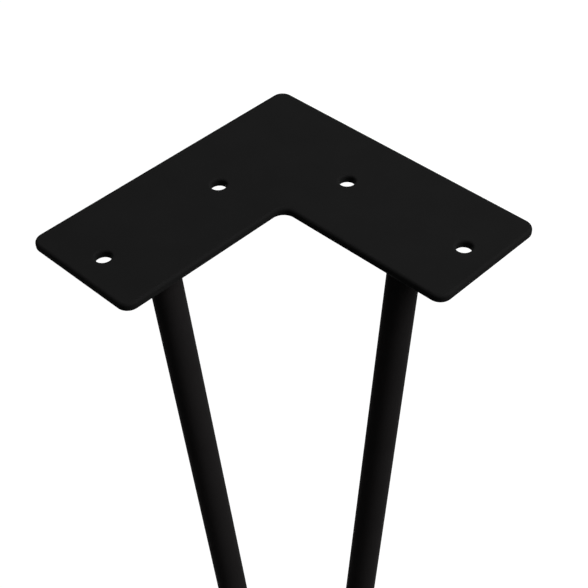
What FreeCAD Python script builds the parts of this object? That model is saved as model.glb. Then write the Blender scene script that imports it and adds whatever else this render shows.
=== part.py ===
import FreeCAD, Part
import enum
import math
import os

import Sketcher

# Hairpin table leg: an L-shaped mounting plate that screws up under a table top, and one round bar,
# bent to a U at the foot, whose two ends are welded to the plate's underside.
#
# Frame: millimetres, +Z up. The origin is on the plate's top face, where the centre lines of its
# two arms cross. +X runs from the left bar end to the right one, and +Y towards the outer corner.

# Driving dimensions, in millimetres and degrees

SIZES = {
    # mounting plate
    "arm_length": 106.0,
    "arm_width": 44.0,
    "plate_thickness": 3.0,
    "outer_corner_radius": 4.0,
    "inner_corner_radius": 4.0,
    "plate_edge_rounding": 1.0,
    # screw holes, on the centre line of each arm
    "hole_diameter": 5.0,
    "hole_rim_rounding": 0.8,
    "hole_from_arm_end": 10.0,
    "hole_pitch": 46.0,
    # bent bar
    "bar_diameter": 10.0,
    "bar_end_from_arm_end": 21.0,
    "bar_end_from_inner_edge": 9.0,
    "bend_radius": 10.0,
    "leg_height": 300.0,
    "lean_angle": 5.5,
    # weld bead round each bar end
    "weld_leg": 2.5,
}

# The arms' own axes are turned by this angle, so that +Y of the part points at the outer corner
ARMS_TURN = 225.0

# Two places nearer than this are the same place
TOUCHING = 1e-3

# Lengths that follow from the driving dimensions, written once as expressions

ARM_HALF_WIDTH = "Sizes.arm_width / 2"
ARM_REACH = "(Sizes.arm_length - Sizes.arm_width / 2)"
BAR_RADIUS = "Sizes.bar_diameter / 2"
BAR_END_ALONG = f"({ARM_REACH} - Sizes.bar_end_from_arm_end)"
BAR_END_ACROSS = f"({ARM_HALF_WIDTH} - Sizes.bar_end_from_inner_edge)"
BAR_END_X = f"({BAR_END_ALONG} - {BAR_END_ACROSS}) / sqrt(2)"
BAR_END_Y = f"-({BAR_END_ALONG} + {BAR_END_ACROSS}) / sqrt(2)"
BEND_CENTRE_DROP = (
    f"(Sizes.leg_height - Sizes.plate_thickness - {BAR_RADIUS}) / cos(Sizes.lean_angle)"
    " - Sizes.bend_radius"
)


def make_sheet(doc):
    """The table of driving dimensions, one named cell each."""
    sheet = doc.addObject("Spreadsheet::Sheet", "Sizes")
    for row, (alias, value) in enumerate(SIZES.items(), start=1):
        sheet.set(f"A{row}", alias.replace("_", " "))
        sheet.set(f"B{row}", str(value))
        sheet.setAlias(f"B{row}", alias)
    doc.recompute()
    return sheet


def make_body(doc, name):
    body = doc.addObject("PartDesign::Body", name)
    body.Label = name
    return body


def origin_plane(body, role):
    return next(item for item in body.Origin.OriginFeatures if item.Role == role)


def make_sketch(body, name, role):
    """An empty sketch on one of the body's own origin planes."""
    sketch = body.newObject("Sketcher::SketchObject", name)
    sketch.AttachmentSupport = [(origin_plane(body, role), "")]
    sketch.MapMode = "FlatFace"
    return sketch


def dimension(sketch, kind, where, value, name, expression):
    """A named dimension whose value follows the sheet."""
    index = sketch.addConstraint(Sketcher.Constraint(kind, *where, value))
    sketch.renameConstraint(index, name)
    sketch.setExpression(f"Constraints.{name}", expression)


def edges_where(shape, test):
    """The names of the shape's edges that pass a test."""
    return [f"Edge{i}" for i, edge in enumerate(shape.Edges, start=1) if test(edge)]


def add_fillet(doc, body, base, name, edge_names, size):
    fillet = body.newObject("PartDesign::Fillet", name)
    fillet.Base = (base, edge_names)
    fillet.setExpression("Radius", f"Sizes.{size}")
    doc.recompute()
    return fillet


class Spot(enum.IntEnum):
    """A sketch's numbers for the points of a line or an arc."""

    START = 1
    END = 2
    CENTRE = 3


class Axis(enum.IntEnum):
    """A sketch's numbers for its own axes."""

    X = -1
    Y = -2


ORIGIN = (Axis.X, Spot.START)


def plate_outline(body, sizes):
    """The L, drawn with sharp corners: arms along the sketch's +x and +y."""
    half = sizes.arm_width / 2
    reach = sizes.arm_length - half
    corners = [
        (-half, -half),
        (reach, -half),
        (reach, half),
        (half, half),
        (half, reach),
        (-half, reach),
    ]
    # The outline's sides in order, each named by its place and the arm that it belongs to
    outer_x, end_x, *_, end_y, outer_y = range(len(corners))
    sketch = make_sketch(body, "PlateOutline", "XY_Plane")
    for i, (x, y) in enumerate(corners):
        next_x, next_y = corners[(i + 1) % len(corners)]
        sketch.addGeometry(
            Part.LineSegment(FreeCAD.Vector(x, y, 0), FreeCAD.Vector(next_x, next_y, 0)), False
        )
    for i in range(len(corners)):
        sketch.addConstraint(
            Sketcher.Constraint("Coincident", i, Spot.END, (i + 1) % len(corners), Spot.START)
        )
        sketch.addConstraint(Sketcher.Constraint("Horizontal" if i % 2 == 0 else "Vertical", i))
    dimension(sketch, "DistanceX", (outer_x, Spot.START, *ORIGIN), half, "corner_x", ARM_HALF_WIDTH)
    dimension(sketch, "DistanceY", (outer_x, Spot.START, *ORIGIN), half, "corner_y", ARM_HALF_WIDTH)
    dimension(
        sketch, "DistanceX", (outer_x, Spot.START, outer_x, Spot.END), sizes.arm_length,
        "length_x", "Sizes.arm_length",
    )
    dimension(
        sketch, "DistanceY", (outer_y, Spot.END, outer_y, Spot.START), sizes.arm_length,
        "length_y", "Sizes.arm_length",
    )
    dimension(
        sketch, "DistanceY", (end_x, Spot.START, end_x, Spot.END), sizes.arm_width,
        "width_x", "Sizes.arm_width",
    )
    dimension(
        sketch, "DistanceX", (end_y, Spot.END, end_y, Spot.START), sizes.arm_width,
        "width_y", "Sizes.arm_width",
    )
    return sketch


def hole_circles(body, sizes):
    """Two screw holes on the centre line of each arm."""
    sketch = make_sketch(body, "HoleCircles", "XY_Plane")
    outer = sizes.arm_length - sizes.arm_width / 2 - sizes.hole_from_arm_end
    outer_expression = f"{ARM_REACH} - Sizes.hole_from_arm_end"
    holes = [
        ("outer", outer, outer_expression),
        ("inner", outer - sizes.hole_pitch, f"{outer_expression} - Sizes.hole_pitch"),
    ]
    for axis, on_line, along in ((Axis.X, (1, 0), "DistanceX"), (Axis.Y, (0, 1), "DistanceY")):
        for name, distance, expression in holes:
            centre = FreeCAD.Vector(on_line[0] * distance, on_line[1] * distance, 0)
            circle = sketch.addGeometry(
                Part.Circle(centre, FreeCAD.Vector(0, 0, 1), sizes.hole_diameter / 2), False
            )
            label = f"{name}_{along[-1].lower()}"
            sketch.addConstraint(Sketcher.Constraint("PointOnObject", circle, Spot.CENTRE, axis))
            dimension(
                sketch, along, (*ORIGIN, circle, Spot.CENTRE), distance, f"place_{label}", expression
            )
            dimension(
                sketch, "Diameter", (circle,), sizes.hole_diameter,
                f"diameter_{label}", "Sizes.hole_diameter",
            )
    return sketch


def mounting_plate(doc, sizes):
    """The L-shaped plate, rounded at its corners, along its edges and at its holes."""
    body = make_body(doc, "mounting_plate")
    pad = body.newObject("PartDesign::Pad", "PlatePad")
    pad.Profile = plate_outline(body, sizes)
    pad.Reversed = True
    pad.setExpression("Length", "Sizes.plate_thickness")
    doc.recompute()

    half = sizes.arm_width / 2

    def upright(edge):
        return edge.BoundBox.ZLength > sizes.plate_thickness / 2

    def at_inner_corner(edge):
        x, y, _ = edge.CenterOfMass
        return math.hypot(x - half, y - half) < TOUCHING

    corners = add_fillet(
        doc, body, pad, "OuterCorners",
        edges_where(pad.Shape, lambda edge: upright(edge) and not at_inner_corner(edge)),
        "outer_corner_radius",
    )
    corners = add_fillet(
        doc, body, corners, "InnerCorner",
        edges_where(corners.Shape, lambda edge: upright(edge) and at_inner_corner(edge)),
        "inner_corner_radius",
    )

    pocket = body.newObject("PartDesign::Pocket", "ScrewHoles")
    pocket.Profile = hole_circles(body, sizes)
    pocket.Type = "ThroughAll"
    doc.recompute()

    def flat(edge):
        return edge.BoundBox.ZLength < TOUCHING

    def hole_rim(edge):
        return flat(edge) and edge.Closed

    rims = add_fillet(
        doc, body, pocket, "HoleRims", edges_where(pocket.Shape, hole_rim), "hole_rim_rounding"
    )
    on_faces = (0.0, -sizes.plate_thickness)

    def plate_edge(edge):
        on_face = any(abs(edge.CenterOfMass.z - z) < TOUCHING for z in on_faces)
        return on_face and flat(edge) and not edge.Closed

    add_fillet(
        doc, body, rims, "PlateEdges", edges_where(rims.Shape, plate_edge), "plate_edge_rounding"
    )
    body.Placement = FreeCAD.Placement(
        FreeCAD.Vector(0, 0, 0), FreeCAD.Rotation(FreeCAD.Vector(0, 0, 1), ARMS_TURN)
    )
    return body


def bar_path(body, sizes):
    """The bar's centre line: two straight legs, tangent to the bend at the foot.

    The sketch leans with the bar about the line through its two ends. The legs run up past the
    plate's underside, which is the sketch's x axis, by one bar diameter, and are cut level there.
    """
    sketch = make_sketch(body, "BarPath", "XZ_Plane")
    sketch.AttachmentOffset = FreeCAD.Placement(
        FreeCAD.Vector(0, 0, 0), FreeCAD.Rotation(FreeCAD.Vector(-1, 0, 0), sizes.lean_angle)
    )
    sketch.setExpression("AttachmentOffset.Rotation.Angle", "Sizes.lean_angle")

    half_width = sizes.arm_width / 2
    along = sizes.arm_length - half_width - sizes.bar_end_from_arm_end
    across = half_width - sizes.bar_end_from_inner_edge
    end_x = (along - across) / math.sqrt(2)
    lean = math.radians(sizes.lean_angle)
    foot_drop = sizes.leg_height - sizes.plate_thickness - sizes.bar_diameter / 2
    centre_drop = foot_drop / math.cos(lean) - sizes.bend_radius
    slant = math.acos(sizes.bend_radius / math.hypot(end_x, centre_drop))
    slant -= math.atan2(centre_drop, end_x)
    overrun = sizes.bar_diameter

    centre = FreeCAD.Vector(0, -centre_drop, 0)
    touch = FreeCAD.Vector(
        sizes.bend_radius * math.cos(slant),
        -centre_drop - sizes.bend_radius * math.sin(slant),
        0,
    )
    top = FreeCAD.Vector(end_x + overrun * math.tan(slant), overrun, 0)

    def mirrored(point):
        return FreeCAD.Vector(-point.x, point.y, 0)

    circle = Part.Circle(centre, FreeCAD.Vector(0, 0, 1), sizes.bend_radius)
    left = sketch.addGeometry(Part.LineSegment(mirrored(top), mirrored(touch)), False)
    bend = sketch.addGeometry(
        Part.ArcOfCircle(circle, math.pi + slant, 2 * math.pi - slant), False
    )
    right = sketch.addGeometry(Part.LineSegment(touch, top), False)
    left_end = sketch.addGeometry(Part.Point(FreeCAD.Vector(-end_x, 0, 0)), True)
    right_end = sketch.addGeometry(Part.Point(FreeCAD.Vector(end_x, 0, 0)), True)

    for point, leg in ((left_end, left), (right_end, right)):
        sketch.addConstraint(Sketcher.Constraint("PointOnObject", point, Spot.START, Axis.X))
        sketch.addConstraint(Sketcher.Constraint("PointOnObject", point, Spot.START, leg))
    sketch.addConstraint(Sketcher.Constraint("Tangent", left, Spot.END, bend, Spot.START))
    sketch.addConstraint(Sketcher.Constraint("Tangent", bend, Spot.END, right, Spot.START))
    sketch.addConstraint(Sketcher.Constraint("PointOnObject", bend, Spot.CENTRE, Axis.Y))
    dimension(sketch, "DistanceX", (left_end, Spot.START, *ORIGIN), end_x, "left_end", BAR_END_X)
    dimension(sketch, "DistanceX", (*ORIGIN, right_end, Spot.START), end_x, "right_end", BAR_END_X)
    dimension(
        sketch, "DistanceY", (bend, Spot.CENTRE, *ORIGIN), centre_drop, "bend_drop", BEND_CENTRE_DROP
    )
    dimension(
        sketch, "Radius", (bend,), sizes.bend_radius, "bend_radius", "Sizes.bend_radius"
    )
    for name, leg, end in (("left_overrun", left, Spot.START), ("right_overrun", right, Spot.END)):
        dimension(
            sketch, "DistanceY", (*ORIGIN, leg, end), overrun, name, "Sizes.bar_diameter"
        )
    return sketch


def hairpin_rod(doc, sizes):
    """One round bar, bent to a U at the foot and cut level at the plate's underside."""
    body = make_body(doc, "hairpin_rod")
    path = bar_path(body, sizes)
    doc.recompute()

    section = body.newObject("Sketcher::SketchObject", "BarSection")
    section.AttachmentSupport = [(path, "Edge1")]
    section.MapMode = "NormalToEdge"
    circle = section.addGeometry(
        Part.Circle(FreeCAD.Vector(0, 0, 0), FreeCAD.Vector(0, 0, 1), sizes.bar_diameter / 2),
        False,
    )
    section.addConstraint(Sketcher.Constraint("Coincident", circle, Spot.CENTRE, *ORIGIN))
    dimension(
        section, "Diameter", (circle,), sizes.bar_diameter, "bar_diameter", "Sizes.bar_diameter"
    )

    bar = body.newObject("PartDesign::AdditivePipe", "BentBar")
    bar.Profile = section
    bar.Spine = (path, ["Edge1", "Edge2", "Edge3"])
    doc.recompute()

    window = make_sketch(body, "LevelCut", "XY_Plane")
    cover = window.addGeometry(
        Part.Circle(FreeCAD.Vector(0, 0, 0), FreeCAD.Vector(0, 0, 1), sizes.arm_length), False
    )
    window.addConstraint(Sketcher.Constraint("Coincident", cover, Spot.CENTRE, *ORIGIN))
    dimension(window, "Radius", (cover,), sizes.arm_length, "cover", "Sizes.arm_length")
    cut = body.newObject("PartDesign::Pocket", "LevelEnds")
    cut.Profile = window
    cut.Type = "ThroughAll"
    cut.Reversed = True
    doc.recompute()

    body.setExpression("Placement.Base.y", BAR_END_Y)
    body.setExpression("Placement.Base.z", "-Sizes.plate_thickness")
    doc.recompute()
    return body


def weld_bead(doc, rod, name, side):
    """A fillet bead in the corner between the plate's underside and one end of the bar."""
    cone = doc.addObject("Part::Cone", f"{name}_cone")
    cone.Radius2 = 0
    cone.setExpression("Radius1", f"{BAR_RADIUS} + Sizes.weld_leg")
    cone.setExpression("Height", f"{BAR_RADIUS} + Sizes.weld_leg")
    cone.Placement = FreeCAD.Placement(
        FreeCAD.Vector(0, 0, 0), FreeCAD.Rotation(FreeCAD.Vector(1, 0, 0), 180)
    )
    cone.setExpression("Placement.Base.x", f"{side} * {BAR_END_X}")
    cone.setExpression("Placement.Base.y", BAR_END_Y)
    cone.setExpression("Placement.Base.z", "-Sizes.plate_thickness")
    bead = doc.addObject("Part::Cut", name)
    bead.Base = cone
    bead.Tool = rod
    bead.Label = name
    doc.recompute()
    return bead


def check(doc, parts):
    """Stops the script if anything in the document failed or any piece isn't one sound solid."""
    for item in doc.Objects:
        faults = {"Invalid", "Error"} & set(item.State)
        if faults:
            raise RuntimeError(f"{item.Name} is {', '.join(sorted(faults))}")
    for part in parts:
        shape = part.Shape
        if shape.isNull() or not shape.isValid() or len(shape.Solids) != 1:
            raise RuntimeError(f"{part.Label} isn't one sound solid")


def main():
    doc = FreeCAD.newDocument("hairpin_table_leg")
    sizes = make_sheet(doc)
    plate = mounting_plate(doc, sizes)
    rod = hairpin_rod(doc, sizes)
    parts = [
        plate,
        rod,
        weld_bead(doc, rod, "weld_bead_left", -1),
        weld_bead(doc, rod, "weld_bead_right", 1),
    ]
    doc.recompute()
    check(doc, parts)
    os.makedirs("parts", exist_ok=True)
    for part in parts:
        part.Shape.exportStep(f"parts/{part.Label}.step")
        print(part.Label, round(part.Shape.Volume, 1), part.Shape.BoundBox)


main()
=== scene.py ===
import math

import bmesh
import bpy
from mathutils import Matrix, Vector


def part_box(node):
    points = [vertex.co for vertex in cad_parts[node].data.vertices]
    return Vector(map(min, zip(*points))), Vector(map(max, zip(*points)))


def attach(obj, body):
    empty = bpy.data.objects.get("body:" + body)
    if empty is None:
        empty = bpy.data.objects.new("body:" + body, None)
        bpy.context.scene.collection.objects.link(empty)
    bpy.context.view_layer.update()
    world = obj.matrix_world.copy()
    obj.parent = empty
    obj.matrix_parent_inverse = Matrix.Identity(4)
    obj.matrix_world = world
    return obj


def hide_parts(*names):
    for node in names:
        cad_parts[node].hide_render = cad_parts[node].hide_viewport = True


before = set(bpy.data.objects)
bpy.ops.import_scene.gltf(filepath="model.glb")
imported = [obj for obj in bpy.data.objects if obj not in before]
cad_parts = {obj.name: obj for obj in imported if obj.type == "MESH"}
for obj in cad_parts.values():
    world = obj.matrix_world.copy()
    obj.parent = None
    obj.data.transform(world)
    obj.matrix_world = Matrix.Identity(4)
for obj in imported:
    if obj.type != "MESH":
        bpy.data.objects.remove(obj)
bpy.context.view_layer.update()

# Lengths are in metres, in the part's own frame: +Z up out of the plate's top face, +Y towards the
# plate's outer corner, +X from the left bar end to the right one.

MM = 0.001
UP = Vector((0.0, 0.0, 1.0))
WHITE = (1.0, 1.0, 1.0, 1.0)

# Materials

# Noise values gather round a half, so this middle range is stretched over a whole effect
NOISE_LOW = 0.3
NOISE_HIGH = 0.7


def new_material(name):
    """A node material, its tree and its principled shader."""
    material = bpy.data.materials.new(name)
    material.use_nodes = True
    return material, material.node_tree, material.node_tree.nodes["Principled BSDF"]


def add_node(tree, kind, **inputs):
    """A node with some of its input sockets set by name."""
    node = tree.nodes.new(kind)
    for name, value in inputs.items():
        node.inputs[name.replace("_", " ")].default_value = value
    return node


def noise(tree, size, detail, roughness=0.5):
    """Noise in the part's own coordinates, with features of about the given size."""
    place = tree.nodes.new("ShaderNodeTexCoord")
    texture = add_node(
        tree, "ShaderNodeTexNoise", Scale=1.0 / size, Detail=detail, Roughness=roughness
    )
    tree.links.new(place.outputs["Object"], texture.inputs["Vector"])
    return texture.outputs["Fac"]


def ramp(tree, source, low, high, low_value, high_value):
    """Maps a value from one range to another, and holds it at both ends."""
    node = add_node(
        tree,
        "ShaderNodeMapRange",
        From_Min=low,
        From_Max=high,
        To_Min=low_value,
        To_Max=high_value,
    )
    node.clamp = True
    tree.links.new(source, node.inputs["Value"])
    return node.outputs["Result"]


def combine(tree, operation, first, second):
    """The result of a maths node on two values."""
    node = tree.nodes.new("ShaderNodeMath")
    node.operation = operation
    tree.links.new(first, node.inputs[0])
    tree.links.new(second, node.inputs[1])
    return node.outputs["Value"]


def mix_colours(tree, factor, first, second):
    """The first colour where the factor is 0, and the second where it is 1."""
    node = tree.nodes.new("ShaderNodeMix")
    node.data_type = "RGBA"
    tree.links.new(factor, node.inputs["Factor"])
    node.inputs["A"].default_value = (*first, 1.0)
    node.inputs["B"].default_value = (*second, 1.0)
    return node.outputs["Result"]


# Powder coat

# An index near 1 leaves only the faint rims that the bars have in the photograph
COAT_IOR = 1.025
CLOUD_SIZE = 14.0 * MM
PEEL_HEIGHT = 0.05 * MM
PEEL_STRENGTH = 0.35
SPECK_HEIGHT = 0.015 * MM
SPECK_STRENGTH = 0.2
SPECKS_TO_A_GRAIN = 3


def powder_coat(name, dark, light, grain, smoothest, roughest):
    """Satin black powder coat: a fine orange peel, slight clouding and an uneven gloss."""
    material, tree, shader = new_material(name)
    clouds = noise(tree, CLOUD_SIZE, detail=3.0)
    peel = noise(tree, grain, detail=2.0, roughness=0.45)
    specks = noise(tree, grain / SPECKS_TO_A_GRAIN, detail=1.0)

    cloud_factor = ramp(tree, clouds, NOISE_LOW, NOISE_HIGH, 0.0, 1.0)
    tree.links.new(mix_colours(tree, cloud_factor, dark, light), shader.inputs["Base Color"])
    gloss = ramp(tree, peel, NOISE_LOW, NOISE_HIGH, smoothest, roughest)
    tree.links.new(gloss, shader.inputs["Roughness"])

    coarse = add_node(tree, "ShaderNodeBump", Strength=PEEL_STRENGTH, Distance=PEEL_HEIGHT)
    tree.links.new(peel, coarse.inputs["Height"])
    fine = add_node(tree, "ShaderNodeBump", Strength=SPECK_STRENGTH, Distance=SPECK_HEIGHT)
    tree.links.new(specks, fine.inputs["Height"])
    tree.links.new(coarse.outputs["Normal"], fine.inputs["Normal"])
    tree.links.new(fine.outputs["Normal"], shader.inputs["Normal"])

    shader.inputs["IOR"].default_value = COAT_IOR
    return material


plate_coat = powder_coat(
    "plate_powder_coat",
    dark=(0.0124, 0.0124, 0.0124),
    light=(0.0136, 0.0136, 0.0136),
    grain=1.2 * MM,
    smoothest=0.46,
    roughest=0.56,
)
bar_coat = powder_coat(
    "bar_powder_coat",
    dark=(0.0176, 0.0163, 0.0165),
    light=(0.0194, 0.0180, 0.0182),
    grain=0.9 * MM,
    smoothest=0.50,
    roughest=0.60,
)
weld_coat = powder_coat(
    "weld_powder_coat",
    dark=(0.0130, 0.0127, 0.0127),
    light=(0.0155, 0.0151, 0.0151),
    grain=0.7 * MM,
    smoothest=0.40,
    roughest=0.55,
)


def dress(node, material):
    """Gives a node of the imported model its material."""
    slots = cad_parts[node].data.materials
    slots.clear()
    slots.append(material)


dress("mounting_plate", plate_coat)
dress("hairpin_rod", bar_coat)

# Bar ends

BAR_RADIUS = 5.0 * MM
BEND_RADIUS = 10.0 * MM
LEAN = math.radians(5.5)
UNDERSIDE = Vector(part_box("mounting_plate")[0]).z
FOOT = Vector(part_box("hairpin_rod")[0]).z


def bar_end(node):
    """The centre of the bar end inside a weld bead, and the direction in which its leg runs down."""
    low, high = (Vector(corner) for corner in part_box(node))
    centre = Vector(((low.x + high.x) / 2, (low.y + high.y) / 2, UNDERSIDE))
    side = math.copysign(1.0, centre.x)
    # From the plate down to the bend's centre, along the plane in which the bar was bent
    drop = (centre.z - FOOT - BAR_RADIUS) / math.cos(LEAN) - BEND_RADIUS
    # The leg's line touches the bend's circle, so it slants less than the line to its centre
    reach = math.hypot(centre.x, drop)
    slant = math.acos(BEND_RADIUS / reach) - math.atan2(drop, abs(centre.x))
    down = Vector(
        (
            -side * math.sin(slant),
            -math.cos(slant) * math.sin(LEAN),
            -math.cos(slant) * math.cos(LEAN),
        )
    )
    return centre, down


def bar_surface(centre, down, outward, depth):
    """The point on the bar's outward side, at a depth below the plate."""
    axis_point = centre + down * (depth / -down.z)
    # A level line from the axis leaves the slanting bar once its part across the axis is a radius
    across = outward - down * outward.dot(down)
    return axis_point + outward * (BAR_RADIUS / across.length)


# Weld beads

# A bead fills the corner between the plate and a bar end, laid down as overlapping ripples
WELD_LEG = 2.5 * MM
CROWN = 0.30 * MM
CROWN_FULLNESS = 0.7
RIPPLES = 26
RIPPLE_HEIGHT = 0.16 * MM
RIPPLE_LAG = 0.9
RIPPLE_RISE = 0.125
RIPPLE_FALL = 0.6
SWAY = 0.15
SWAYS = 3
SINK = 0.06 * MM
STEPS_ROUND = 520
STEPS_ACROSS = 18


def ripple_lift(angle, part):
    """How far the bead's face bulges at an angle round the bar, a part of the way across it."""
    # A ripple is a crescent, whose ends lag behind its middle, and the welder's hand sways
    lag = RIPPLE_LAG * (2 * part - 1) ** 2
    sway = SWAY * math.sin(SWAYS * angle)
    phase = (angle * RIPPLES / (2 * math.pi) + lag + sway) % 1.0
    crest = (1 - phase) ** RIPPLE_FALL * min(1.0, phase / RIPPLE_RISE)
    arch = math.sin(math.pi * part) ** CROWN_FULLNESS
    return arch * (CROWN + RIPPLE_HEIGHT * (crest - 1))


def bead_section(centre, down, angle):
    """The closed outline of the bead's section at an angle round the bar."""
    outward = Vector((math.cos(angle), math.sin(angle), 0.0))
    sideways = Vector((-outward.y, outward.x, 0.0))
    plate_toe = centre + outward * (BAR_RADIUS + WELD_LEG - CROWN / 2)
    bar_toe = bar_surface(centre, down, outward, WELD_LEG - CROWN / 2)
    face = (bar_toe - plate_toe).cross(sideways).normalized()
    outline = []
    for step in range(STEPS_ACROSS + 1):
        part = step / STEPS_ACROSS
        outline.append(plate_toe.lerp(bar_toe, part) + face * ripple_lift(angle, part))
    # The back is sunk a hair into the bar and the plate, so that no seam shows
    outline.append(bar_toe - outward * SINK)
    outline.append(bar_surface(centre, down, outward, 0.0) - outward * SINK)
    outline.append(plate_toe + UP * SINK)
    return outline


def weld_bead(name, node):
    """A rippled bead in the place of a plain one."""
    centre, down = bar_end(node)
    mesh = bmesh.new()
    rings = []
    for step in range(STEPS_ROUND):
        outline = bead_section(centre, down, 2 * math.pi * step / STEPS_ROUND)
        rings.append([mesh.verts.new(point) for point in outline])
    for step, ring in enumerate(rings):
        beyond = rings[(step + 1) % STEPS_ROUND]
        for j in range(len(ring)):
            k = (j + 1) % len(ring)
            mesh.faces.new((ring[j], ring[k], beyond[k], beyond[j]))
    bmesh.ops.recalc_face_normals(mesh, faces=mesh.faces)
    data = bpy.data.meshes.new(name)
    mesh.to_mesh(data)
    mesh.free()
    for polygon in data.polygons:
        polygon.use_smooth = True
    data.materials.append(weld_coat)
    bead = bpy.data.objects.new(name, data)
    bpy.context.scene.collection.objects.link(bead)
    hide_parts(node)
    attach(bead, "root")


weld_bead("rippled_bead_left", "weld_bead_left")
weld_bead("rippled_bead_right", "weld_bead_right")

# Floor and surround

# Both are white to the camera and in reflections. The floor takes the leg's shadow, which fades
# out with the distance from the leg, and can be seen through from below.
FLOOR_SIZE = 8.0
FLOOR_DIVISIONS = 8
FLOOR_COLOUR = (0.30, 0.30, 0.30, 1.0)
FLOOR_ROUGHNESS = 0.9
FLOOR_GLOW = 0.88
FADE_FROM = 0.3
FADE_TO = 1.2
WORLD_LIGHT = 0.03


def seen_directly(tree):
    """1 for rays from the camera, off gloss or through glass, and 0 for the rest."""
    path = tree.nodes.new("ShaderNodeLightPath")
    camera_or_gloss = combine(
        tree, "MAXIMUM", path.outputs["Is Camera Ray"], path.outputs["Is Glossy Ray"]
    )
    return combine(tree, "MAXIMUM", camera_or_gloss, path.outputs["Is Transmission Ray"])


def floor_material():
    """A pale floor that glows up to white for the camera, and is clear from its back."""
    material, tree, shader = new_material("pale_floor")
    shader.inputs["Base Color"].default_value = FLOOR_COLOUR
    shader.inputs["Roughness"].default_value = FLOOR_ROUGHNESS
    shader.inputs["Specular IOR Level"].default_value = 0.0
    shader.inputs["Emission Color"].default_value = WHITE

    place = tree.nodes.new("ShaderNodeTexCoord")
    distance = tree.nodes.new("ShaderNodeVectorMath")
    distance.operation = "LENGTH"
    tree.links.new(place.outputs["Object"], distance.inputs[0])
    glow = ramp(tree, distance.outputs["Value"], FADE_FROM, FADE_TO, FLOOR_GLOW, 1.0)
    seen_glow = combine(tree, "MULTIPLY", glow, seen_directly(tree))
    tree.links.new(seen_glow, shader.inputs["Emission Strength"])

    side = tree.nodes.new("ShaderNodeNewGeometry")
    clear = tree.nodes.new("ShaderNodeBsdfTransparent")
    choose = tree.nodes.new("ShaderNodeMixShader")
    tree.links.new(side.outputs["Backfacing"], choose.inputs["Fac"])
    tree.links.new(shader.outputs["BSDF"], choose.inputs[1])
    tree.links.new(clear.outputs["BSDF"], choose.inputs[2])
    output = tree.nodes["Material Output"]
    tree.links.new(choose.outputs["Shader"], output.inputs["Surface"])
    return material


def add_floor():
    """A level floor under the foot."""
    bpy.ops.mesh.primitive_grid_add(
        x_subdivisions=FLOOR_DIVISIONS,
        y_subdivisions=FLOOR_DIVISIONS,
        size=FLOOR_SIZE,
        location=(0.0, 0.0, FOOT),
    )
    floor = bpy.context.object
    floor.name = "floor"
    floor.data.materials.append(floor_material())


def set_world():
    """A white surround that sheds little light of its own."""
    world = bpy.data.worlds.new("studio")
    world.use_nodes = True
    tree = world.node_tree
    background = tree.nodes["Background"]
    background.inputs["Color"].default_value = WHITE
    strength = ramp(tree, seen_directly(tree), 0.0, 1.0, WORLD_LIGHT, 1.0)
    tree.links.new(strength, background.inputs["Strength"])
    bpy.context.scene.world = world


add_floor()
set_world()

# Lamps

LAMP_AIM = Vector((0.0, -0.05, -0.10))


def soft_box(name, around, height, size, watts, distance=1.2, spread=180.0):
    """A round soft box that points at the leg, and that the camera doesn't see.

    around is its angle round the leg, from the camera's side towards +X, and height its angle above
    level. These and spread are in degrees.
    """
    turn = math.radians(around)
    rise = math.radians(height)
    towards = Vector(
        (
            math.sin(turn) * math.cos(rise),
            -math.cos(turn) * math.cos(rise),
            math.sin(rise),
        )
    )
    data = bpy.data.lights.new(name, "AREA")
    data.shape = "DISK"
    data.size = size
    data.spread = math.radians(spread)
    data.energy = watts
    lamp = bpy.data.objects.new(name, data)
    lamp.location = LAMP_AIM + towards * distance
    lamp.rotation_euler = towards.to_track_quat("Z", "Y").to_euler()
    lamp.visible_camera = False
    bpy.context.scene.collection.objects.link(lamp)


soft_box("key", around=60.0, height=55.0, size=0.5, watts=2.8)
soft_box("low_key", around=75.0, height=30.0, size=0.6, watts=5.9)
soft_box("high_side", around=90.0, height=65.0, size=0.6, watts=2.1)
soft_box("far_side", around=130.0, height=42.0, size=0.8, watts=1.2)
soft_box("top", around=180.0, height=85.0, size=0.8, watts=2.7)
# Lights the back and the underside, with a spread that keeps it off the floor in the camera's view
soft_box("back", around=180.0, height=-9.0, size=0.18, watts=0.4, distance=0.6, spread=45.0)

# Camera

# The photograph's camera: its place, two of its directions and its focal length in image widths.
# The sensor's width is in millimetres.
CAMERA_PLACE = Vector((0.006518, -0.342381, 0.249118))
CAMERA_AHEAD = Vector((-0.009873, 0.736895, -0.675935))
CAMERA_RIGHT = Vector((0.999578, -0.011197, -0.026807))
FOCAL_WIDTHS = 2.2439
SENSOR_WIDTH = 36.0
NEAREST_SEEN = 0.01


def photo_camera():
    """A camera that sees the leg as the photograph does."""
    data = bpy.data.cameras.new("photo_camera")
    data.sensor_width = SENSOR_WIDTH
    data.lens = FOCAL_WIDTHS * SENSOR_WIDTH
    data.clip_start = NEAREST_SEEN
    camera = bpy.data.objects.new("photo_camera", data)
    bpy.context.scene.collection.objects.link(camera)
    ahead = CAMERA_AHEAD.normalized()
    right = (CAMERA_RIGHT - ahead * CAMERA_RIGHT.dot(ahead)).normalized()
    above = right.cross(ahead)
    turn = Matrix((right, above, -ahead)).transposed().to_4x4()
    camera.matrix_world = Matrix.Translation(CAMERA_PLACE) @ turn
    return camera


bpy.context.scene.camera = photo_camera()
bpy.context.scene.view_settings.view_transform = "Standard"
